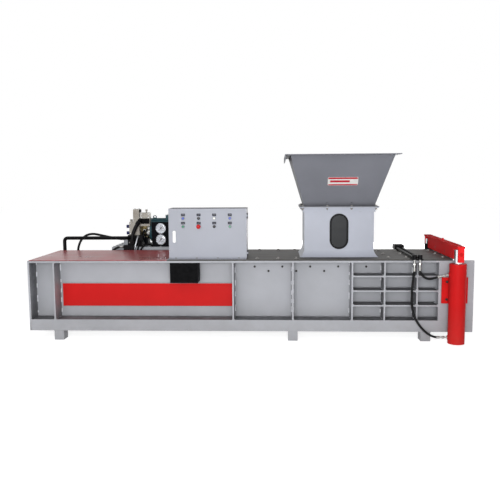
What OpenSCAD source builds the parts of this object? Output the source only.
// Horizontal hydraulic press for wood shavings: a ribbed steel frame with a ram driven by a
// long cylinder, a feed chute with a flared hopper, an outlet gate lifted by two upright
// cylinders, a control cabinet on top and a hydraulic power unit behind.
// Lengths are millimetres. X runs from the cylinder end to the gate, +Z is up, -Y is the front.

/* [Frame] */
// Length of the press frame
frame_l = 4620; // [4560:10:4760]
// Width of the frame over its ribs
frame_w = 1000; // [970:10:1040]
// Clear height between the floor plate and the top flanges
bay_h = 600; // [570:10:640]
// Clear width between the side walls
chamber_w = 590; // [570:5:610]
// Height of the feet
foot_h = 100; // [80:5:140]
// Length of a foot along the frame
foot_l = 100; // [80:5:120]
// Width of a foot across the frame
foot_w = 130; // [90:5:150]
// Height of the base channels
base_h = 120; // [100:5:140]
// Sheet thickness of the base channels
channel_t = 10; // [8:1:12]
// Thickness of the side walls
wall_t = 15; // [10:1:20]
// Thickness of the floor plate
floor_t = 15; // [10:1:20]
// Thickness of the ribs
rib_t = 16; // [12:1:20]
// Thickness of the flange strips along the top edges
flange_t = 20; // [15:1:25]
// Thickness of the end plate that carries the main cylinder
end_t = 20; // [15:1:25]
// Centre of the first rib from the cylinder end
rib_1_x = 275; // [260:5:300]
// Centre of the second rib, past the side cover
rib_2_x = 2160; // [2120:10:2200]
// Centre of the third rib, below the chute's near edge
rib_3_x = 2780; // [2740:10:2820]
// Pitch of the three ribs of the chamber grid
grid_pitch = 330; // [310:5:345]
// From the last grid rib to the gate post
grid_end = 215; // [200:5:240]

/* [Covers] */
// Height of the red side cover strip
side_cover_h = 245; // [220:5:260]
// Height of the side cover above the floor plate
side_cover_z = 110; // [90:5:130]
// Thickness of the cover sheets
cover_t = 6; // [4:1:8]
// Thickness of the top plates
top_t = 12; // [10:1:16]
// Inset of covers and top plates from the frame's edge
cover_inset = 15; // [10:1:25]

/* [Gate] */
// Length of the gate posts along the frame
post_l = 355; // [340:5:370]
// Thickness of the posts' outer plates
post_t = 30; // [20:1:35]
// Thickness of the gate plate
gate_t = 40; // [30:1:45]
// Gap between the gate plate and its slot, each side
gate_gap = 0.5; // [0.3:0.1:0.9]
// Outer diameter of the gate cylinders
gate_cyl_d = 168; // [160:1:176]
// Bore of the gate cylinders
gate_bore_d = 130; // [120:1:140]
// Diameter of the gate cylinders' rods
gate_rod_d = 80; // [70:1:90]
// Height of the gate cylinders
gate_cyl_h = 810; // [790:5:830]
// Lift of the gate
gate_lift = 580; // [540:10:590]
// Height of the crossbeam
beam_h = 143; // [130:1:160]
// Width of the crossbeam
beam_w = 60; // [50:1:70]

/* [Ram] */
// Stroke of the ram
ram_stroke = 1500; // [1400:10:1500]
// Height of the ram above the floor plate
ram_h = 606; // [570:1:606]
// Thickness of the ram's walls
ram_wall = 20; // [15:1:25]
// Outer diameter of the main cylinder
main_cyl_d = 219; // [210:1:230]
// Bore of the main cylinder
main_bore_d = 180; // [170:1:190]
// Diameter of the main rod
main_rod_d = 110; // [100:1:120]

/* [Feed] */
// From the centre of the feed chute to the gate posts
chute_back = 993; // [975:1:1010]
// Length of the chute along the frame
chute_l = 733; // [700:1:760]
// Width of the chute across the frame
chute_w = 500; // [470:5:520]
// Height of the chute
chute_h = 528; // [500:1:560]
// Sheet thickness of chute and hopper
sheet_t = 6; // [4:1:8]
// Spread of the chute's curved skirt on each side
skirt_out = 46; // [36:1:56]
// Height of the curved skirt
skirt_h = 90; // [70:1:110]
// Height of the hopper from its flange to its rim
hopper_h = 540; // [500:5:580]
// Length of the hopper's mouth along the frame
hopper_l = 1043; // [980:1:1100]
// Width of the hopper's mouth across the frame
hopper_w = 1180; // [1100:5:1200]
// Width of the rim around the hopper's mouth
rim_w = 52; // [40:1:60]
// Width of the sight window over its seal
window_w = 197; // [180:1:210]
// Height of the sight window over its seal
window_h = 377; // [350:1:390]

/* [Cabinet] */
// Width of the control cabinet
cab_w = 820; // [800:5:840]
// Height of the control cabinet
cab_h = 523; // [500:1:540]
// Depth of the control cabinet
cab_d = 280; // [240:5:300]
// Left side of the cabinet from the cylinder end
cab_x = 1480; // [1460:5:1500]
// Depth of the folded door
door_t = 15; // [12:1:20]
// Sheet thickness of the cabinet
cab_sheet = 3; // [2:0.5:4]
// Diameter of the push buttons
button_d = 26; // [22:1:28]
// Travel of the push buttons
button_travel = 4; // [3:0.5:4]

/* [Power unit] */
// Length of the oil tank
tank_l = 1340; // [1250:10:1400]
// Width of the oil tank
tank_w = 600; // [560:10:640]
// Height of the oil tank's lid
tank_h = 860; // [840:5:870]
// Gap between frame and oil tank
tank_gap = 100; // [90:5:120]
// Diameter of the motor's body
motor_d = 290; // [270:2:296]
// Length of the motor's body
motor_l = 520; // [480:5:560]
// Height of the motor's shaft above the lid
shaft_h = 190; // [180:2:200]
// Diameter of the pressure gauges
gauge_d = 118; // [100:1:124]

/* [Pipes] */
// Outer diameter of the main pipe
main_pipe_d = 42; // [38:1:44]
// Outer diameter of the gate's pipes
gate_pipe_d = 25; // [20:1:28]
// Diameter of the hoses to the gate cylinders
gate_hose_d = 24; // [20:1:24]
// Diameter of the arched return hose
arch_hose_d = 28; // [24:1:28]
// Diameter of the corner hose
corner_hose_d = 25; // [20:1:25]
// Diameter of the pressure hose from the valve
valve_hose_d = 44; // [36:1:44]

/* [Hidden] */
$fn = 48;

// Clearances
seat = 0.3;
run_gap = 0.05;
free_gap = 0.35;
over = 1;

// Levels and widths of the frame
half_w = frame_w / 2;
wall_in = chamber_w / 2;
wall_out = wall_in + wall_t;
floor_z = foot_h + base_h;
flange_z = floor_z + bay_h;
top_z = flange_z + flange_t;
deck_z = top_z + top_t;
post_x = frame_l - post_l;
grid_xs = [post_x - grid_end - 2 * grid_pitch, post_x - grid_end - grid_pitch, post_x - grid_end];
rib_xs = concat([rib_1_x, rib_2_x, rib_3_x], grid_xs);
grid_step = (bay_h + flange_t / 2) / 4;
grid_zs = [for (i = [1 : 3]) flange_z + flange_t / 2 - i * grid_step];
foot_xs = [rib_1_x + 36, rib_3_x, post_x - 120];
cross_xs = [rib_1_x + 36, 1000, 1700, 2300, rib_3_x, 3500, post_x - 120];
cross_t = 20;
cover_x0 = rib_1_x + rib_t / 2 + 22;
cover_x1 = rib_2_x - rib_t / 2 - 12;
cover_bar = 8;

// Main cylinder and ram
chute_x = post_x - chute_back;
cap_t = 70;
cap_w = 300;
axis_z = floor_z + ram_h / 2;
main_x0 = end_t;
gland_l = 80;
main_cyl_l = 1840;
piston_t = 80;
piston_rest = 30;
ram_face_t = 40;
ram_x1 = chute_x - chute_l / 2 - 25;
ram_x0 = ram_x1 - ram_stroke;
ram_half = wall_in - 5;
main_rod_end = ram_x1 - ram_face_t;
rail_t = 15;
rail_h = 85;
rail_z = floor_z + 470;
rail_x0 = rib_2_x + 170;
rail_l = 1290;
rail_bolt_d = 16;
rail_bolt_xs = [for (i = [0 : 4]) rail_x0 + 49 + i * 294];
rail_low_xs = [for (i = [0 : 2]) rail_x0 + 196 + i * 294];
notch_w = 80;
notch_h = 120;

// Gate and its cylinders
gate_x = frame_l - 196;
slot_w = gate_t + 2 * gate_gap;
slot_cheek = 20;
gate_half = wall_out + 40;
post_inner_h = bay_h - 20;
gate_cyl_y = half_w + 20 + gate_cyl_d / 2 + 6;
gate_cyl_z = 12;
gate_bore_l = gate_lift + 110;
saddle_w = 90;
mount_w = 262;
mount_h = 268;
mount_t = 20;
mount_z = 402;
mount_bolt = 82;
mount_bolt_z = 91;
port_low = 72;
port_high = 712;
gland_z = gate_cyl_z + gate_cyl_h;
beam_z = gland_z + 40;
beam_top = beam_z + beam_h;
beam_plate = 20;
beam_end = gate_cyl_y + gate_rod_d / 2 + 40 + 24;
strap_t = 24;
pin_d = 36;
pin_z = beam_z + 62;
rod_top = beam_top - beam_plate - 20;
diaphragm_y = gate_cyl_y - gate_rod_d / 2 - 24;
lug_y = 200;
lug_pin_z = beam_z + 45;
lug_t = beam_w - 20 - 1;

// Feed chute and hopper
skirt_r = (skirt_h * skirt_h + skirt_out * skirt_out) / (2 * skirt_out);
collar_out = 14;
collar_h = 52;
flange_out = 45;
flange_sheet = 8;
feed_z = deck_z + chute_h;
hopper_z = feed_z + seat;
window_z = deck_z + 270;
seal_w = 20;
seal_t = 8;
lip_drop = 58;
feed_bolt_dx = 127.5;
feed_bolt_dy = 110;
feed_bolt_out = 30;

// Cabinet
cab_r = cab_x + cab_w;
cab_front = -380;
body_y = cab_front + door_t + seat;
hinge_x = cab_r + 8;
hinge_y = cab_front + door_t;
hinge_r = 7;
hinge_pin_r = 3;
knuckle = 20;
hinge_zs = [deck_z + 26, deck_z + cab_h - 106];
control_dx = 163.7;
control_x = cab_x + 154;
control_z = deck_z + cab_h - 101;
control_dz = 86;
collar_d = 34;
collar_t = 12;
collar_ledge = 3.2;
hole_d = 22.6;
shank_d = 16;
lock_x = cab_x + 60;
lock_z = deck_z + 230;

// Power unit
tank_x = 606;
tank_y = half_w + tank_gap;
tank_sheet = 5;
lid_t = 10;
lid_z = tank_h;
motor_y = tank_y + 300;
motor_z = lid_z + lid_t + shaft_h;
motor_x = 1040;
bell_l = 110;
pump_l = 150;
shaft_d = 48;
valve_x = 866;
valve_y = tank_y + 40;
valve_w = 74;
valve_dep = 120;
valve_top = lid_z + lid_t + 455;
manifold_h = 140;
adjust_top = lid_z + lid_t + 300;
elbow = [955, 600, 1192];
elbow_lean = 212;
elbow_out = [sin(elbow_lean), 0, cos(elbow_lean)];
knob_x = 810;
knob_zs = [1115, 1035];
knob_y = valve_y + 60;
board_y = tank_y + 50;
board_x0 = 1092;
board_x1 = 1330;
board_t = 8;
gauge_x = 1207;
gauge_zs = [1094, 958];
gauge_dep = 34;
needle_r = 40;

// Pipes
pipe_y = half_w + 50;
pipe_x = end_t + 25;
pipe_z = 986;
main_bend = 38;
gland_pipe_x = 190;
gland_pipe_y = 590;
gland_pipe_z = 540;
supply_y = half_w + 30;
supply_xs = [570, 824];
supply_zs = [600, 460];
riser_y = half_w + 72;
riser_xs = [gate_x - 484, gate_x - 534];
riser_zs = [810, 780];
riser_bend = 20;
tube_z = deck_z + 20;
tube_xs = [gate_x - 414, gate_x - 358];
block_x0 = tube_xs[0] - 25;
block_x1 = tube_xs[1] + 29;
block_h = 53;
block_in = half_w - 60;
block_out = half_w + 45;
rear_block_out = riser_y + 18;
swivel_d = 30;
return_x0 = 766;
return_x1 = 892;
return_z0 = 790;
return_z1 = 897;
return_y = tank_y - 60;
main_pipe_x = 819;
filter_x = 760;
filter_y = 730;
filter_d = 66;

// Overall middle, so that the model stands centred on its origin
end_bolt_h = 16;
x_mid = (frame_l - end_bolt_h) / 2;
y_front = -beam_end;
y_back = tank_y + tank_w;
y_mid = (y_front + y_back) / 2;

// Fifteen points from p along u to q along v: a straight lead, a smooth curve and a lead again
function led(p, u, q, v, pull) =
  let (a = p + 8 * u, b = q - 8 * v)
  concat([p], [for (i = [0 : 12]) let (t = i / 12)
    (2 * pow(t, 3) - 3 * t * t + 1) * a + (pow(t, 3) - 2 * t * t + t) * pull[0] * u
    + (3 * t * t - 2 * pow(t, 3)) * b + (pow(t, 3) - t * t) * pull[1] * v], [q]);

// Routes of the hoses, from one fitting to the other; the gate's are measured from gate_x
long_route = [[-414, -530, 768], [-414, -530, 730], [-419, -530, 690], [-426, -530, 630],
  [-431, -530, 570], [-434, -531, 510], [-435, -533, 450], [-432, -536, 390],
  [-423, -541, 330], [-406, -549, 270], [-379, -560, 215], [-342, -574, 163],
  [-302, -588, 122], [-260, -600, 93], [-220, -608, 77], [-188, -610, 72], [-166, -610, 72]];
short_route = [[-358, -530, 774], [-358, -530, 766], [-356.1, -531.6, 744], [-350.6, -536.3, 723.1],
  [-341.6, -543.6, 704.3], [-329.3, -553, 688.5], [-314.1, -563.6, 676.5], [-296.4, -574.5, 668.9],
  [-277.1, -584.9, 666], [-256.9, -593.7, 668], [-236.8, -600.7, 674], [-216.2, -605.8, 680.3],
  [-195.2, -608.9, 686.6], [-173.8, -610, 692.2], [-166, -610, 694]];
arch_route = [[190, 590, 640], [190, 590, 700], [190, 590, 770], [193, 590, 830],
  [204, 590, 885], [224, 590, 935], [254, 590, 978], [292, 590, 1009], [335, 592, 1026],
  [382, 596, 1031], [430, 605, 1025], [476, 620, 1013], [524, 645, 999], [572, 678, 985],
  [618, 710, 971], [655, 726, 962], [684, 730, 960], [710, 730, 960]];
corner_route = led([570, 530, 690], [0, 0, 1], [748, 570, 876], [1, 0, 0], [300, 270]);
valve_route = led(elbow + 30 * elbow_out, elbow_out, [862, 574, 915], [0, 0, -1], [250, 290]);
function end_of(route) = route[len(route) - 1];

frame_grey = [0.70, 0.71, 0.74];
cabinet_grey = [0.72, 0.73, 0.78];
hopper_grey = [0.48, 0.49, 0.52];
signal_red = [0.80, 0.14, 0.14];
steel = [0.78, 0.78, 0.80];
hose_black = [0.05, 0.05, 0.06];

// Moves a shape from machine coordinates to the model's origin
module placed() translate([-x_mid, -y_mid, 0]) children();

// Repeats a shape on the front and, mirrored, on the rear
module both_sides() {
  children();
  mirror([0, 1, 0]) children();
}

// Block between two corners
module span(low, high) translate(low) cube(high - low);

module cyl_x(x0, x1, d) translate([x0, 0, 0]) rotate([0, 90, 0]) cylinder(h = x1 - x0, d = d);

module cyl_y(y0, y1, d) translate([0, y0, 0]) rotate([-90, 0, 0]) cylinder(h = y1 - y0, d = d);

// Upright stadium outline of width w and height h
module stadium(w, h) {
  square([w, h - w], center = true);
  translate([0, (h - w) / 2]) circle(d = w);
  translate([0, -(h - w) / 2]) circle(d = w);
}

// Stadium block standing on the XZ plane, from y0 to y1
module stadium_y(w, h, y0, y1) translate([0, y1, 0]) rotate([90, 0, 0])
  linear_extrude(y1 - y0) stadium(w, h);

// Hexagonal head standing on z = 0
module hex_head(across, h) cylinder(h = h, d = across / cos(30), $fn = 6);

// Quarter bend of a pipe at corner p, coming along a and leaving along b
module bend(p, a, b, r, d) {
  c = p - a * r + b * r;
  n = cross(a, b);
  multmatrix([[-b[0], a[0], n[0], c[0]], [-b[1], a[1], n[1], c[1]], [-b[2], a[2], n[2], c[2]]])
    rotate_extrude(angle = 90) translate([r, 0]) circle(d = d);
}

// Straight round bar between two points that differ along one axis only
module bar(p, q, d) {
  v = q - p;
  tilt = v[0] != 0 ? [0, 90, 0] : v[1] != 0 ? [-90, 0, 0] : [0, 0, 0];
  start = v[0] + v[1] + v[2] > 0 ? p : q;
  translate(start) rotate(tilt) cylinder(h = norm(v), d = d);
}

// Pipe along points that turn at right angles
module pipe(pts, d, r) {
  last = len(pts) - 1;
  dirs = [for (i = [0 : last - 1]) (pts[i + 1] - pts[i]) / norm(pts[i + 1] - pts[i])];
  for (i = [0 : last - 1]) {
    p = i == 0 ? pts[0] : pts[i] + dirs[i] * r;
    q = i == last - 1 ? pts[last] : pts[i + 1] - dirs[i] * r;
    bar(p, q, d);
    if (i > 0) bend(pts[i], dirs[i - 1], dirs[i], r, d);
  }
}

// Unit direction of a route at point i
function unit(v) = v / norm(v);
function heading(pts, i) = unit(pts[min(i + 1, len(pts) - 1)] - pts[max(i - 1, 0)]);
function ring(pts, i, d, n) =
  let (t = heading(pts, i), u = unit(cross([0, 1, 0], t)), v = cross(t, u))
  [for (k = [0 : n - 1]) pts[i] + d / 2 * (u * cos(360 * k / n) + v * sin(360 * k / n))];

// Hose swept along its route
module hose(pts, d, n = 10) {
  m = len(pts);
  rings = [for (i = [0 : m - 1]) each ring(pts, i, d, n)];
  sides = [for (i = [0 : m - 2], k = [0 : n - 1], half = [0, 1])
    let (a = i * n + k, b = i * n + (k + 1) % n)
    half == 0 ? [a, b, a + n] : [b, b + n, a + n]];
  polyhedron(rings, concat([[for (k = [n - 1 : -1 : 0]) k]], sides,
    [[for (k = [0 : n - 1]) (m - 1) * n + k]]));
}

function mirrored(pts) = [for (p = pts) [p[0], -p[1], p[2]]];

module end_plate() placed() color(frame_grey) difference() {
  span([0, -half_w, foot_h], [end_t, half_w, top_z]);
  for (sy = [-1, 1], sz = [-1, 1])
    translate([-over, sy * cap_w * 0.4, axis_z + sz * cap_w * 0.4])
      rotate([0, 90, 0]) cylinder(h = end_t + 2 * over, d = 26);
}

module side_walls() placed() color(frame_grey) {
  mirror([0, 1, 0]) difference() {
    side_wall();
    span([end_t - over, -wall_out - over, axis_z - notch_h / 2],
      [end_t + notch_w, -wall_in + over, axis_z + notch_h / 2]);
    translate([gland_pipe_x, 0, gland_pipe_z]) cyl_y(-wall_out - over, -wall_in + over, 40);
  }
  side_wall();
}

// Wall of one side, with the bars above and below the side cover and the rail bolts' holes
module side_wall() difference() {
  union() {
    span([end_t, -wall_out, floor_z], [post_x, -wall_in, flange_z]);
    for (z = [floor_z + side_cover_z - cover_bar - 1, floor_z + side_cover_z + side_cover_h + 1])
      span([cover_x0, -wall_out - 8, z], [cover_x1, -wall_out + over, z + cover_bar]);
  }
  rail_bolt_holes(-wall_out - over, -wall_in + over);
}

module rail_bolt_holes(y0, y1) {
  for (x = rail_bolt_xs)
    translate([x, 0, rail_z + 65]) cyl_y(y0, y1, rail_bolt_d + 2 * free_gap);
  for (x = rail_low_xs)
    translate([x, 0, rail_z + 18]) cyl_y(y0, y1, rail_bolt_d + 2 * free_gap);
}

// Floor plate and the cross members below it
module floor_plate() placed() color(frame_grey) {
  span([end_t, -wall_out, floor_z - floor_t], [frame_l, wall_out, floor_z]);
  for (x = cross_xs)
    span([x - cross_t / 2, -wall_out, foot_h], [x + cross_t / 2, wall_out, floor_z - floor_t - seat]);
}

module base_channels() placed() color(frame_grey) both_sides()
  difference() {
    span([end_t, -half_w, foot_h], [frame_l, -wall_out - seat, floor_z]);
    span([end_t - over, -half_w + channel_t, foot_h + channel_t],
      [frame_l + over, -wall_out + over, floor_z - channel_t]);
  }

module feet() placed() color(frame_grey) both_sides()
  for (x = foot_xs)
    span([x - foot_l / 2, -half_w, 0], [x + foot_l / 2, -half_w + foot_w, foot_h]);

module top_flanges() placed() color(frame_grey) both_sides()
  span([end_t, -half_w, flange_z], [post_x, -wall_in, top_z]);

module side_ribs() placed() color(frame_grey) both_sides() {
  for (x = rib_xs)
    span([x - rib_t / 2, -half_w, floor_z], [x + rib_t / 2, -wall_out, flange_z]);
  bay_x0 = [for (x = grid_xs) x + rib_t / 2 + seat];
  bay_x1 = [grid_xs[1] - rib_t / 2 - seat, grid_xs[2] - rib_t / 2 - seat, post_x - seat];
  for (i = [0 : 2], z = grid_zs)
    span([bay_x0[i], -half_w, z - rib_t / 2], [bay_x1[i], -wall_out, z + rib_t / 2]);
}

// Hollow post on each side of the outlet: an outer plate, two wall strips and the gate's slot
module gate_posts() placed() color(frame_grey) both_sides() {
  slot_l = gate_x - slot_w / 2;
  slot_r = gate_x + slot_w / 2;
  difference() {
    span([post_x, -half_w, floor_z], [frame_l, -half_w + post_t, top_z]);
    for (sx = [-1, 1], sz = [-1, 1])
      translate([gate_x + sx * mount_bolt, 0, mount_z + mount_h / 2 + sz * mount_bolt_z])
        cyl_y(-half_w - over, -half_w + post_t + over, 24);
  }
  translate([0, 0, floor_z]) linear_extrude(post_inner_h) {
    translate([post_x, -wall_out]) square([slot_l - post_x, wall_t]);
    translate([slot_r, -wall_out]) square([frame_l - slot_r, wall_t]);
    translate([slot_l - slot_cheek, -half_w + post_t - over])
      square([slot_cheek, half_w - post_t - wall_in + over]);
    translate([slot_r, -half_w + post_t - over])
      square([slot_cheek, half_w - post_t - wall_in + over]);
    translate([frame_l - slot_cheek, -half_w + post_t - over])
      square([slot_cheek, half_w - post_t - wall_in + over]);
  }
}

module guide_rails() placed() color(steel) both_sides() difference() {
  span([rail_x0, -wall_in, rail_z], [rail_x0 + rail_l, -wall_in + rail_t, rail_z + rail_h]);
  rail_bolt_holes(-wall_in - over, -wall_in + rail_t + over);
}

// Bolts of the guide rails, the top plates, the main cylinder, the gate cylinders and the feed
module frame_bolts() placed() color(steel) {
  both_sides() {
    for (x = rail_bolt_xs) rail_bolt(x, rail_z + 65);
    for (x = rail_low_xs) rail_bolt(x, rail_z + 18);
    for (sx = [-1, 1], sz = [-1, 1])
      translate([gate_x + sx * mount_bolt, -half_w - mount_t, mount_z + mount_h / 2 + sz * mount_bolt_z])
        mount_bolt_shape();
    for (sx = [-3, -1, 1, 3])
      translate([chute_x + sx * feed_bolt_dx, -chute_w / 2 - feed_bolt_out, hopper_z + flange_sheet])
        feed_bolt_shape();
  }
  for (sx = [-1, 1], sy = [-1, 1])
    translate([chute_x + sx * (chute_l / 2 + feed_bolt_out), sy * feed_bolt_dy, hopper_z + flange_sheet])
      feed_bolt_shape();
  for (x = [grid_xs[1] + 60, grid_xs[2] - 85, post_x + 80], y = [-320, 0, 320])
    translate([x, y, deck_z]) hex_head(30, 14);
  for (x = [cab_r + 110, cab_r + 330, cab_r + 520], y = [-400, 400])
    translate([x, y, deck_z]) hex_head(30, 14);
  for (sy = [-1, 1], sz = [-1, 1])
    translate([0, sy * cap_w * 0.4, axis_z + sz * cap_w * 0.4]) rotate([0, -90, 0]) {
      hex_head(36, end_bolt_h);
      translate([0, 0, -end_t - 30]) cylinder(h = end_t + 30 + over, d = 24);
    }
}

module rail_bolt(x, z) translate([x, 0, z]) {
  cyl_y(-wall_out - 7, -wall_out, 26);
  cyl_y(-wall_out - over, -wall_in + rail_t - 3, rail_bolt_d);
}

module mount_bolt_shape() rotate([90, 0, 0]) {
  hex_head(36, 15);
  translate([0, 0, -mount_t - post_t]) cylinder(h = mount_t + post_t + over, d = 22);
}

// Screw down through both feed flanges, with its nut below; z = 0 is the upper flange's top
module feed_bolt_shape() {
  grip = 2 * flange_sheet + seat;
  hex_head(24, 10);
  translate([0, 0, -grip - 30]) cylinder(h = grip + 30 + over, d = 16);
  translate([0, 0, -grip - 14]) hex_head(24, 14);
}

module side_covers() placed() color(signal_red) both_sides()
  span([cover_x0, -wall_out - cover_t, floor_z + side_cover_z],
    [cover_x1, -wall_out, floor_z + side_cover_z + side_cover_h]);

// Sheet cover that lies over the cylinder bay
module cylinder_cover() placed() color(signal_red)
  span([end_t / 2, -half_w + cover_inset, top_z], [cab_x - 10, half_w - cover_inset, top_z + cover_t]);

module top_plates() placed() color(hopper_grey) difference() {
  span([cab_x - 5, -half_w + cover_inset, top_z],
    [gate_x - slot_w / 2, half_w - cover_inset, deck_z]);
  span([chute_x - chute_l / 2 + sheet_t, -chute_w / 2 + sheet_t, top_z - over],
    [chute_x + chute_l / 2 - sheet_t, chute_w / 2 - sheet_t, deck_z + over]);
}

// Black box below the flange, through which the cabinet's cables go down
module cable_box() placed() color(hose_black) difference() {
  span([cab_x + 25, -half_w, flange_z - 212], [cab_x + 315, -wall_out, flange_z]);
  span([cab_x + 28, -half_w + 3, flange_z - 209], [cab_x + 312, -wall_out - 3, flange_z + over]);
}

module cabinet_body() placed() color(cabinet_grey) {
  back = cab_front + cab_d;
  difference() {
    span([cab_x, body_y, deck_z], [cab_r, back, deck_z + cab_h]);
    span([cab_x + cab_sheet, body_y - over, deck_z + cab_sheet],
      [cab_r - cab_sheet, back - cab_sheet, deck_z + cab_h - cab_sheet]);
  }
  for (z = hinge_zs, dz = [0, 2 * knuckle]) translate([0, 0, z + dz]) {
    translate([hinge_x, hinge_y, 0]) cylinder(h = knuckle - seat, r = hinge_r);
    span([cab_r - over, body_y, 0], [hinge_x, body_y + 26, knuckle - seat]);
  }
  for (z = hinge_zs)
    translate([hinge_x, hinge_y, z + knuckle - over]) cylinder(h = knuckle + 2 * over, r = hinge_pin_r);
}

module cabinet_door() placed() color(cabinet_grey) {
  difference() {
    span([cab_x, cab_front, deck_z + 2], [cab_r, cab_front + door_t, deck_z + cab_h]);
    span([cab_x + cab_sheet, cab_front + cab_sheet, deck_z + 2 + cab_sheet],
      [cab_r - cab_sheet, cab_front + door_t + over, deck_z + cab_h - cab_sheet]);
    for (i = [0 : 3], j = [0, 1])
      translate([control_x + i * control_dx, 0, control_z - j * control_dz])
        cyl_y(cab_front - over, cab_front + cab_sheet + over, hole_d);
    translate([lock_x, 0, lock_z])
      cyl_y(cab_front - over, cab_front + cab_sheet + over, shank_d + 2 * free_gap);
  }
  for (z = hinge_zs) translate([0, 0, z + knuckle + seat]) difference() {
    union() {
      translate([hinge_x, hinge_y, 0]) cylinder(h = knuckle - 3 * seat, r = hinge_r);
      span([cab_r - over, hinge_y - 10, 0], [hinge_x, hinge_y - 4, knuckle - 3 * seat]);
    }
    translate([hinge_x, hinge_y, -over]) cylinder(h = knuckle + 2 * over, r = hinge_pin_r + run_gap);
  }
}

// White lever of the door lock on its round shank
module door_lock() placed() color("white") translate([lock_x, 0, lock_z]) {
  stadium_y(34, 128, cab_front - 16, cab_front - 4);
  cyl_y(cab_front - 5, cab_front - seat, 26);
  cyl_y(cab_front - over, cab_front + 12, shank_d);
}

// Push button of column i and row j
module push_button(i, j, d = button_d, head = 8.5) translate([control_x + i * control_dx, 0,
    control_z - j * control_dz]) {
  face = cab_front - collar_ledge - button_travel - seat;
  cyl_y(face - head, face, d);
  cyl_y(face - over, cab_front + 20, shank_d);
}

module blue_button_left() placed() color("royalblue") push_button(0, 0);
module blue_button_right() placed() color("royalblue") push_button(3, 0);
module white_button() placed() color("white") push_button(2, 0);
module green_button_left() placed() color("seagreen") push_button(0, 1);
module green_button_right() placed() color("seagreen") push_button(3, 1);

// Mushroom head that stands clear of its collar by its own travel
module stop_button() placed() color("red")
  translate([control_x + control_dx, 0, control_z - control_dz]) {
    back = cab_front - collar_t - 7;
    translate([0, back, 0]) rotate([90, 0, 0]) rotate_extrude() {
      square([22, 7]);
      difference() {
        translate([0, -9]) circle(r = 28);
        translate([-40, -50]) square([40, 100]);
        translate([0, -50]) square([40, 57]);
      }
    }
    cyl_y(back - over, cab_front + 20, shank_d);
  }

module selector(i, j) translate([control_x + i * control_dx, 0, control_z - j * control_dz]) {
  face = cab_front - collar_ledge - button_travel - seat;
  cyl_y(face - 8.5, face, button_d);
  span([-4, face - 18, -12], [4, face - 8, 12]);
  cyl_y(face - over, cab_front + 20, shank_d);
}

module upper_selector() placed() color(hose_black) selector(1, 0);
module lower_selector() placed() color(hose_black) selector(2, 1);

// Stepped ring of each control, held in the door's hole
module switch_collars() placed() color(steel)
  for (i = [0 : 3], j = [0, 1])
    translate([control_x + i * control_dx, cab_front, control_z - j * control_dz])
      rotate([90, 0, 0]) rotate_extrude() {
        translate([button_d / 2 + free_gap, 3])
          square([(collar_d - button_d) / 2 - free_gap, collar_t - 3]);
        translate([shank_d / 2 + free_gap, 0]) square([collar_d / 2 - shank_d / 2 - free_gap, collar_ledge]);
        translate([shank_d / 2 + free_gap, -cab_sheet - 8])
          square([(hole_d - shank_d) / 2 - 2 * free_gap, cab_sheet + 8.2]);
      }

// Mounting plate inside the cabinet with a row of contactors, a controller and terminals
module control_gear() placed() color("gainsboro") {
  back = cab_front + cab_d - cab_sheet;
  span([cab_x + 40, back - 12, deck_z + 40], [cab_r - 40, back, deck_z + cab_h - 40]);
  for (i = [0 : 4])
    span([cab_x + 90 + i * 75, back - 90, deck_z + 220], [cab_x + 145 + i * 75, back - 11, deck_z + 310]);
  span([cab_x + 90, back - 100, deck_z + 360], [cab_x + 300, back - 11, deck_z + 450]);
  span([cab_x + 520, back - 120, deck_z + 180], [cab_x + 720, back - 11, deck_z + 450]);
  span([cab_x + 90, back - 60, deck_z + 90], [cab_x + 720, back - 11, deck_z + 130]);
}

// Outline of the chute seen along one axis, of width w, with its curved skirt
module chute_outline(w, z_top) difference() {
  translate([-w / 2 - skirt_out, 0]) square([w + 2 * skirt_out, z_top]);
  for (s = [-1, 1]) {
    translate([s * (w / 2 + skirt_r), skirt_h]) circle(r = skirt_r, $fn = 96);
    translate([s > 0 ? w / 2 : -w / 2 - skirt_out - over, skirt_h])
      square([skirt_out + over, z_top]);
  }
}

// Rectangular body whose four sides follow the outline, with mitred corners
module chute_body(l, w, z_top) intersection() {
  rotate([90, 0, 0]) translate([0, 0, -w]) linear_extrude(2 * w) chute_outline(l, z_top);
  rotate([90, 0, 90]) translate([0, 0, -l]) linear_extrude(2 * l) chute_outline(w, z_top);
}

module frame_band(l, w, out, z0, z1) difference() {
  translate([-l / 2 - out, -w / 2 - out, z0]) cube([l + 2 * out, w + 2 * out, z1 - z0]);
  translate([-l / 2 + over, -w / 2 + over, z0 - over])
    cube([l - 2 * over, w - 2 * over, z1 - z0 + 2 * over]);
}

module feed_bolt_holes() {
  for (sx = [-3, -1, 1, 3], sy = [-1, 1])
    translate([sx * feed_bolt_dx, sy * (chute_w / 2 + feed_bolt_out), -50]) cylinder(h = 100, d = 17);
  for (sx = [-1, 1], sy = [-1, 1])
    translate([sx * (chute_l / 2 + feed_bolt_out), sy * feed_bolt_dy, -50]) cylinder(h = 100, d = 17);
}

module feed_chute() placed() color(cabinet_grey) translate([chute_x, 0, deck_z]) difference() {
  union() {
    difference() {
      chute_body(chute_l, chute_w, chute_h);
      translate([0, 0, -sheet_t / 3])
        chute_body(chute_l - 2 * sheet_t, chute_w - 2 * sheet_t, chute_h + 2 * sheet_t);
    }
    frame_band(chute_l, chute_w, collar_out, chute_h - collar_h, chute_h - flange_sheet + over);
    frame_band(chute_l, chute_w, flange_out, chute_h - flange_sheet, chute_h);
  }
  translate([0, 0, chute_h]) feed_bolt_holes();
  translate([0, 0, window_z - deck_z])
    stadium_y(window_w - seal_w, window_h - seal_w, -chute_w / 2 - over, -chute_w / 2 + sheet_t + over);
}

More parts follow.
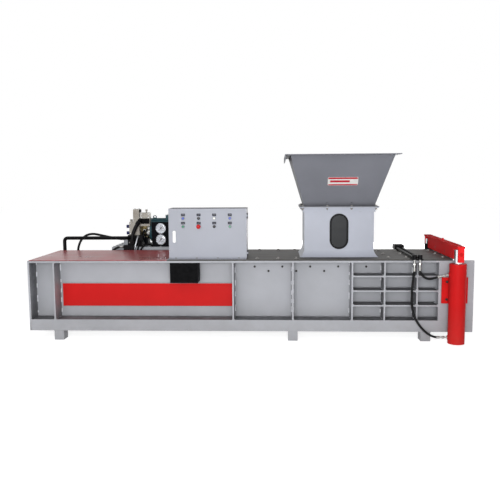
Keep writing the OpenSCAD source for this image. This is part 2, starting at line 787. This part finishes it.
// Rubber seal: a lip outside the sheet and a neck through its opening
module window_seal() placed() color(hose_black) translate([chute_x, -chute_w / 2, window_z])
  difference() {
    union() {
      stadium_y(window_w, window_h, -seal_t, -seat);
      stadium_y(window_w - seal_w - 2 * seat, window_h - seal_w - 2 * seat, -over, sheet_t);
    }
    stadium_y(window_w - 2 * seal_w, window_h - 2 * seal_w, -seal_t - over, sheet_t + over);
  }

module sight_window() placed() color([0.2, 0.2, 0.22]) translate([chute_x, -chute_w / 2, window_z])
  stadium_y(window_w - 2 * seal_w - 2 * seat, window_h - 2 * seal_w - 2 * seat, -4, 2);

// Trapezoid prism body of the hopper, spreading from l0 by w0 to l1 by w1
module flared_body(l0, w0, l1, w1, z0, z1) intersection() {
  rotate([90, 0, 0]) translate([0, 0, -w1]) linear_extrude(2 * w1)
    polygon([[-l0 / 2, z0], [l0 / 2, z0], [l1 / 2, z1], [-l1 / 2, z1]]);
  rotate([90, 0, 90]) translate([0, 0, -l1]) linear_extrude(2 * l1)
    polygon([[-w0 / 2, z0], [w0 / 2, z0], [w1 / 2, z1], [-w1 / 2, z1]]);
}

module hopper() placed() color(hopper_grey) translate([chute_x, 0, hopper_z]) difference() {
  union() {
    difference() {
      flared_body(chute_l, chute_w, hopper_l, hopper_w, 0, hopper_h);
      flared_body(chute_l - 2 * sheet_t, chute_w - 2 * sheet_t,
        hopper_l - 2 * sheet_t, hopper_w - 2 * sheet_t, -0.01, hopper_h + 0.01);
    }
    frame_band(chute_l, chute_w, flange_out, 0, flange_sheet);
    frame_band(hopper_l - 2 * sheet_t, hopper_w - 2 * sheet_t, rim_w + sheet_t,
      hopper_h - flange_sheet, hopper_h);
    span([-hopper_l / 2 - rim_w, -hopper_w / 2 - rim_w, hopper_h - lip_drop],
      [-hopper_l / 2 - rim_w + flange_sheet, hopper_w / 2 + rim_w, hopper_h]);
  }
  feed_bolt_holes();
}

// Barrel with its square cap, gland, support saddle and port block
module main_barrel() placed() color(signal_red) difference() {
  union() {
    translate([0, 0, axis_z]) {
      span([main_x0, -cap_w / 2, -cap_w / 2], [main_x0 + cap_t, cap_w / 2, cap_w / 2]);
      cyl_x(main_x0 + cap_t - over, main_x0 + main_cyl_l, main_cyl_d);
      cyl_x(main_x0 + main_cyl_l - gland_l, main_x0 + main_cyl_l, main_cyl_d + 30);
    }
    span([main_x0 + main_cyl_l - 60, 0, gland_pipe_z - 22],
      [main_x0 + main_cyl_l - 20, 150, gland_pipe_z + 22]);
    span([ram_x0 - 90, -110, floor_z + seat], [ram_x0 - 60, 110, axis_z - main_cyl_d / 4]);
  }
  translate([0, 0, axis_z]) {
    cyl_x(main_x0 + piston_rest, main_x0 + main_cyl_l - gland_l, main_bore_d);
    cyl_x(main_x0 + main_cyl_l - gland_l - over, main_x0 + main_cyl_l + over,
      main_rod_d + 2 * run_gap);
  }
  for (sy = [-1, 1], sz = [-1, 1])
    translate([0, sy * cap_w * 0.4, axis_z + sz * cap_w * 0.4])
      cyl_x(main_x0 - over, main_x0 + 40, 26);
}

module main_rod() placed() color(steel) translate([0, 0, axis_z]) {
  cyl_x(main_x0 + piston_rest + 10, main_x0 + piston_rest + 10 + piston_t, main_bore_d - 2 * run_gap);
  cyl_x(main_x0 + piston_rest + 20, main_rod_end - seat, main_rod_d);
  cyl_x(main_rod_end - 40, main_rod_end - seat, main_rod_d + 90);
}

// Hollow ram, open at the back, with a groove on each side for its guide rail
module ram_box() placed() color(hopper_grey) difference() {
  span([ram_x0, -ram_half, floor_z + seat], [ram_x1, ram_half, floor_z + ram_h]);
  span([ram_x0 - over, -ram_half + ram_wall, floor_z + ram_wall],
    [ram_x1 - ram_face_t, ram_half - ram_wall, floor_z + ram_h - ram_wall]);
  both_sides()
    span([ram_x0 - over, -ram_half - over, rail_z - 2],
      [ram_x1 + over, -wall_in + rail_t + 1, rail_z + rail_h + 2]);
}

// Upright cylinder on its bolted plate, front and rear
module gate_barrels() placed() color(signal_red) both_sides() translate([gate_x, 0, 0]) {
  difference() {
    union() {
      translate([0, -gate_cyl_y, gate_cyl_z]) cylinder(h = gate_cyl_h, d = gate_cyl_d);
      span([-mount_w / 2, -half_w - mount_t, mount_z], [mount_w / 2, -half_w, mount_z + mount_h]);
      span([-saddle_w / 2, -gate_cyl_y + gate_cyl_d * 0.4, mount_z],
        [saddle_w / 2, -half_w - over, mount_z + mount_h]);
      for (z = [port_low, port_high])
        translate([0, -gate_cyl_y, z]) cyl_x(-gate_cyl_d / 2 - 6, -gate_bore_d / 2, 44);
    }
    translate([0, -gate_cyl_y, gland_z - 90 - gate_bore_l])
      cylinder(h = gate_bore_l, d = gate_bore_d);
    translate([0, -gate_cyl_y, gland_z - 90 - over])
      cylinder(h = 90 + 2 * over, d = gate_rod_d + 2 * run_gap);
    for (sx = [-1, 1], sz = [-1, 1])
      translate([sx * mount_bolt, 0, mount_z + mount_h / 2 + sz * mount_bolt_z])
        cyl_y(-half_w - mount_t - over, -half_w + over, 24);
  }
}

module gate_rods() placed() color(steel) both_sides() translate([gate_x, -gate_cyl_y, 0])
  difference() {
    union() {
      translate([0, 0, gate_cyl_z + 32]) cylinder(h = 60, d = gate_bore_d - 2 * run_gap);
      translate([0, 0, gate_cyl_z + 40]) cylinder(h = rod_top - gate_cyl_z - 40, d = gate_rod_d);
    }
    translate([0, 0, pin_z]) cyl_y(-gate_rod_d, gate_rod_d, pin_d + 2 * run_gap);
  }

// Crossbeam: top plate, two cheeks with rounded shoulders, end straps and diaphragms
module crossbeam() placed() color(signal_red) translate([gate_x, 0, 0]) difference() {
  union() {
    span([-beam_w / 2 - 8, -beam_end, beam_top - beam_plate],
      [beam_w / 2 + 8, beam_end, beam_top]);
    for (s = [-1, 1]) translate([s * (beam_w / 2 - 5) - 5, 0, 0]) cheek();
    both_sides() {
      span([-beam_w / 2, -beam_end + 2, beam_z - 17],
        [beam_w / 2, -beam_end + 2 + strap_t, beam_top - over]);
      span([-beam_w / 2 + over, -diaphragm_y - 2, beam_z + 10],
        [beam_w / 2 - over, -diaphragm_y + 14, beam_top - over]);
    }
    translate([0, 0, beam_top - over]) rotate([0, 90, 0])
      translate([0, 0, -8]) cylinder(h = 16, d = 46);
  }
  both_sides() translate([0, 0, pin_z])
    cyl_y(-beam_end - over, -diaphragm_y + 20, pin_d + 2 * run_gap);
  for (y = [-lug_y, lug_y])
    translate([0, y, lug_pin_z]) cyl_x(-beam_w, beam_w, pin_d + 2 * run_gap);
  translate([0, 0, beam_top + 6]) cyl_x(-20, 20, 18);
}

// Long side plate of the crossbeam; its ends curve up to the top plate beside the rods
module cheek() {
  shoulder = 60;
  reach = diaphragm_y + shoulder;
  rotate([90, 0, 90]) linear_extrude(10) difference() {
    translate([-reach, beam_z]) square([2 * reach, beam_h - over]);
    for (s = [-1, 1]) {
      translate([s * reach, beam_top - beam_plate - shoulder]) circle(r = shoulder);
      translate([s * reach - shoulder, beam_z - over])
        square([2 * shoulder, beam_h - beam_plate - shoulder + over]);
    }
  }
}

// Pins along Y through the rods and pins along X through the gate's lugs
module crossbeam_pins() placed() color(steel) translate([gate_x, 0, 0]) {
  both_sides() translate([0, 0, pin_z]) cyl_y(-beam_end + 2, -diaphragm_y + 14, pin_d);
  for (y = [-lug_y, lug_y]) translate([0, y, lug_pin_z]) cyl_x(-beam_w / 2, beam_w / 2, pin_d);
}

module gate_plate() placed() color(hopper_grey) translate([gate_x, 0, 0]) difference() {
  union() {
    span([-gate_t / 2, -gate_half, floor_z + seat], [gate_t / 2, gate_half, beam_z - 12]);
    for (y = [-lug_y, lug_y])
      span([-lug_t / 2, y - 45, beam_z - 13], [lug_t / 2, y + 45, lug_pin_z + 42]);
  }
  for (y = [-lug_y, lug_y])
    translate([0, y, lug_pin_z]) cyl_x(-gate_t, gate_t, pin_d + 2 * run_gap);
}

// Open sheet tank on four legs
module oil_tank() placed() color(frame_grey) translate([tank_x, tank_y, 0]) {
  difference() {
    span([0, 0, 250], [tank_l, tank_w, tank_h]);
    span([tank_sheet, tank_sheet, 250 + tank_sheet],
      [tank_l - tank_sheet, tank_w - tank_sheet, tank_h + over]);
  }
  for (x = [0, tank_l - 80], y = [0, tank_w - 80])
    span([x, y, 0], [x + 80, y + 80, 251]);
}

// Lid with the filler cap, the breather and the return filter's head
module tank_lid() placed() color(frame_grey) {
  span([tank_x, tank_y, lid_z], [tank_x + tank_l, tank_y + tank_w, lid_z + lid_t]);
  translate([tank_x + 90, tank_y + tank_w - 120, lid_z + lid_t - over]) {
    cylinder(h = 25, d = 90);
    cylinder(h = 60, d = 70);
  }
  translate([tank_x + tank_l - 120, tank_y + 150, lid_z + lid_t - over]) cylinder(h = 70, d = 60);
  translate([filter_x, filter_y, lid_z + lid_t - over]) cylinder(h = 116, d = filter_d);
}

// Finned motor body with feet, terminal box and lifting eye
module motor_housing() placed() color("teal") translate([0, motor_y, motor_z]) difference() {
  union() {
    cyl_x(motor_x, motor_x + motor_l, motor_d - 24);
    cyl_x(motor_x, motor_x + 24, motor_d);
    cyl_x(motor_x + motor_l - 90, motor_x + motor_l, motor_d);
    for (a = [0 : 15 : 345])
      rotate([a, 0, 0]) span([motor_x + 10, -3, motor_d / 2 - 20], [motor_x + motor_l - 80, 3, motor_d / 2]);
    for (x = [motor_x + 60, motor_x + motor_l - 180])
      span([x, -motor_d * 0.45, -shaft_h + seat], [x + 60, motor_d * 0.45, -motor_d * 0.3]);
    span([motor_x + 190, -60, motor_d / 2 - 20], [motor_x + 310, 60, motor_d / 2 + 30]);
    translate([motor_x + 45, 0, motor_d / 2 + 12]) cyl_y(-8, 8, 46);
  }
  cyl_x(motor_x - over, motor_x + motor_l - 60, shaft_d + 2 * run_gap);
  translate([motor_x + 45, 0, motor_d / 2 + 16]) cyl_y(-9, 9, 24);
}

// Shaft with the coupling hub that sits in the bell housing
module motor_shaft() placed() color(steel) translate([0, motor_y, motor_z]) {
  cyl_x(motor_x - bell_l + 12, motor_x + motor_l - 70, shaft_d);
  cyl_x(motor_x - bell_l + 20, motor_x - 20, 96);
}

// Bell housing bolted to the motor, with the pump and its suction elbow
module pump() placed() color([0.55, 0.50, 0.40]) translate([0, motor_y, motor_z]) difference() {
  union() {
    cyl_x(motor_x - bell_l, motor_x - seat, 190);
    cyl_x(motor_x - 16, motor_x - seat, 240);
    cyl_x(motor_x - bell_l - pump_l, motor_x - bell_l + over, 120);
    cyl_x(motor_x - bell_l - 40, motor_x - bell_l + over, 150);
    cyl_x(motor_x - bell_l - pump_l, motor_x - bell_l - pump_l + 30, 140);
    translate([motor_x - bell_l - 90, 0, -shaft_h + seat]) cylinder(h = shaft_h, d = 60);
    translate([motor_x - bell_l - 90, 0, -shaft_h + seat]) cylinder(h = 14, d = 110);
  }
  cyl_x(motor_x - bell_l + 8, motor_x + over, 120);
}

// Black manifold under the valves, and the return block on the tank's front wall
module manifold() placed() color(hose_black) {
  base = lid_z + lid_t + seat;
  span([knob_x - 14, valve_y, base], [valve_x + 110, valve_y + valve_dep, base + manifold_h]);
  span([return_x0, return_y, return_z0], [return_x1, tank_y - seat, return_z1]);
}

// Column of the pilot valve, the solenoid valve and the adjusting block
module valve_block() placed() color([0.62, 0.61, 0.58]) translate([0, valve_y, 0]) {
  base = lid_z + lid_t + seat;
  span([valve_x, 10, base + manifold_h + seat], [valve_x + valve_w, valve_dep - 10, valve_top]);
  span([valve_x + valve_w - over, 20, base + 250], [valve_x + 200, valve_dep - 20, base + 342]);
  span([valve_x + 94, 15, base + 341], [valve_x + 201, valve_dep - 15, base + 413]);
  translate([valve_x + 156, valve_dep / 2, base + 412]) {
    cylinder(h = 18, d = 16);
    translate([0, 0, 17]) cylinder(h = 22, d = 26);
  }
  span([knob_x + 1, 30, base + manifold_h + seat], [valve_x + over, valve_dep - 25, adjust_top]);
  translate([knob_x + 24, valve_dep / 2, adjust_top - over]) cylinder(h = 22, d = 30);
}

module control_knob(z) translate([0, knob_y, z]) {
  cyl_x(knob_x - 36, knob_x - 6, 40);
  cyl_x(knob_x - 7, knob_x + 1 - seat, 24);
}

module upper_knob() placed() color("navy") control_knob(knob_zs[0]);
module lower_knob() placed() color("navy") control_knob(knob_zs[1]);

// Upright board with two gauge cases
module gauge_board() placed() color(hose_black) {
  difference() {
    union() {
      span([board_x0, board_y, lid_z + lid_t + seat], [board_x1, board_y + board_t, 1168]);
      span([board_x0, board_y, lid_z + lid_t + seat],
        [board_x1, board_y + 60, lid_z + lid_t + 8]);
      for (z = gauge_zs)
        translate([gauge_x, 0, z]) cyl_y(board_y - gauge_dep, board_y + over, gauge_d);
    }
    for (z = gauge_zs) translate([gauge_x, 0, z]) {
      cyl_y(board_y - gauge_dep - over, board_y - gauge_dep + 12, gauge_d - 10);
      cyl_y(board_y - gauge_dep, board_y - 8, 6 + 2 * run_gap);
    }
  }
}

// Gauge pointer on its arbor, resting at the lower left of its dial
module needle(z) translate([gauge_x, 0, z]) {
  front = board_y - gauge_dep + 4;
  cyl_y(front, front + 3, 14);
  cyl_y(front + 1, board_y - 12, 6);
  rotate([0, -45, 0]) translate([-needle_r, front, -1.5]) cube([needle_r + 12, 2, 3]);
}

module upper_needle() placed() color("firebrick") needle(gauge_zs[0]);
module lower_needle() placed() color("firebrick") needle(gauge_zs[1]);

// Rigid pipes: to the cap, to the gland, along the rear to the gate, and the two across the top
module steel_pipes() placed() color(hose_black) {
  pipe([[main_pipe_x, valve_y - seat, pipe_z], [main_pipe_x, pipe_y, pipe_z],
    [pipe_x, pipe_y, pipe_z], [pipe_x, pipe_y, axis_z],
    [pipe_x, cap_w / 2 + seat, axis_z]], main_pipe_d, main_bend);
  gland_x = main_x0 + main_cyl_l - 40;
  arch_foot = arch_route[0][2] - 40;
  pipe([[gland_pipe_x, gland_pipe_y, arch_foot], [gland_pipe_x, gland_pipe_y, gland_pipe_z],
    [gland_pipe_x, 190, gland_pipe_z], [gland_x, 190, gland_pipe_z],
    [gland_x, 150 + seat, gland_pipe_z]], gate_pipe_d, 30);
  block_z = deck_z - seat;
  supply_y0 = [supply_y, return_y + 32];
  supply_z0 = [corner_route[0][2] - 45, return_z0 - seat];
  for (i = [0, 1])
    pipe(concat([[supply_xs[i], supply_y0[i], supply_z0[i]], [supply_xs[i], supply_y0[i], supply_zs[i]]],
      i == 0 ? [] : [[supply_xs[i], supply_y, supply_zs[i]]],
      [[riser_xs[i], supply_y, supply_zs[i]], [riser_xs[i], supply_y, riser_zs[i]],
      [riser_xs[i], riser_y, riser_zs[i]], [tube_xs[i], riser_y, riser_zs[i]],
      [tube_xs[i], riser_y, block_z]]), gate_pipe_d, riser_bend);
  for (x = tube_xs) translate([x, 0, tube_z]) cyl_y(-block_in - over, block_in + over, gate_pipe_d);
  span([block_x0, -block_out, deck_z], [block_x1, -block_in, deck_z + 12]);
  for (x = tube_xs) {
    translate([x, -half_w - 30, deck_z + 12 - over]) cylinder(h = block_h - 12, d = 46);
    translate([x, 0, tube_z]) cyl_y(-half_w - 30, -block_in, 38);
  }
  span([block_x0, block_in, deck_z], [block_x1, rear_block_out, deck_z + block_h]);
  for (x = [rib_2_x, rib_3_x, grid_xs[0]], z = supply_zs) pipe_clip(x, z);
}

// Saddle block on a rear rib's edge, half round the pipe
module pipe_clip(x, z) difference() {
  span([x - 20, half_w, z - 25], [x + 20, supply_y, z + 25]);
  translate([0, supply_y, z]) cyl_x(x - 20 - over, x + 20 + over, gate_pipe_d + 2 * seat);
}

// Swivel fittings between the blocks, pipes, ports and hoses
module hose_fittings() placed() color(steel) {
  port_face = -gate_cyl_d / 2 - 6;
  low_end = end_of(long_route);
  high_end = end_of(short_route);
  climb = atan((port_high - high_end[2]) / (port_face - high_end[0]));
  both_sides() translate([gate_x, 0, 0]) {
    for (route = [long_route, short_route]) translate(route[0])
      fitting(deck_z - route[0][2] - seat, swivel_d);
    translate(low_end) rotate([0, 90, 0]) fitting(port_face - low_end[0] - seat, swivel_d);
    translate(high_end) rotate([0, 90 - climb, 0]) translate([0, 0, seat])
      fitting((port_face - high_end[0]) / cos(climb) - 4, swivel_d - 2);
  }
  translate(arch_route[0] - [0, 0, 40 - seat]) fitting(40 - 2 * seat, 38);
  translate(corner_route[0] - [0, 0, 45 - seat]) fitting(45 - 2 * seat, 34);
  arch_end = end_of(arch_route);
  translate(arch_end + [seat, 0, 0]) rotate([0, 90, 0])
    fitting(filter_x - filter_d / 2 - arch_end[0] - 2 * seat, 38);
  corner_end = end_of(corner_route);
  translate(corner_end + [seat, 0, 0]) rotate([0, 90, 0])
    fitting(return_x0 - corner_end[0] - 2 * seat, 34);
  valve_end = end_of(valve_route);
  translate([valve_end[0], return_y + 34, return_z1]) fitting(valve_end[2] - return_z1 - seat, 50);
  translate(elbow) {
    cyl_y(0, valve_y + 20 - seat - elbow[1], 30);
    sphere(d = 50);
    rotate([0, elbow_lean, 0]) cylinder(h = 30 - seat, d = 48);
  }
}

// Round swivel with a hexagonal nut, standing on z = 0
module fitting(h, d) {
  cylinder(h = h, d = d);
  translate([0, 0, h * 0.35]) hex_head(d + 4, h * 0.3);
}

module gate_hose(route) placed() color(hose_black) translate([gate_x, 0, 0]) hose(route, gate_hose_d);
module front_hose_long() gate_hose(long_route);
module front_hose_short() gate_hose(short_route);
module rear_hose_long() gate_hose(mirrored(long_route));
module rear_hose_short() gate_hose(mirrored(short_route));
module arch_hose() placed() color(hose_black) hose(arch_route, arch_hose_d);
module corner_hose() placed() color(hose_black) hose(corner_route, corner_hose_d);
module valve_hose() placed() color(hose_black) hose(valve_route, valve_hose_d);

end_plate();
side_walls();
floor_plate();
base_channels();
feet();
top_flanges();
side_ribs();
gate_posts();
guide_rails();
frame_bolts();
side_covers();
cylinder_cover();
top_plates();
cable_box();
cabinet_body();
cabinet_door();
door_lock();
blue_button_left();
blue_button_right();
white_button();
green_button_left();
green_button_right();
stop_button();
upper_selector();
lower_selector();
switch_collars();
control_gear();
feed_chute();
window_seal();
sight_window();
hopper();
main_barrel();
main_rod();
ram_box();
gate_barrels();
gate_rods();
crossbeam();
crossbeam_pins();
gate_plate();
oil_tank();
tank_lid();
motor_housing();
motor_shaft();
pump();
manifold();
valve_block();
upper_knob();
lower_knob();
gauge_board();
upper_needle();
lower_needle();
steel_pipes();
hose_fittings();
front_hose_long();
front_hose_short();
rear_hose_long();
rear_hose_short();
arch_hose();
corner_hose();
valve_hose();
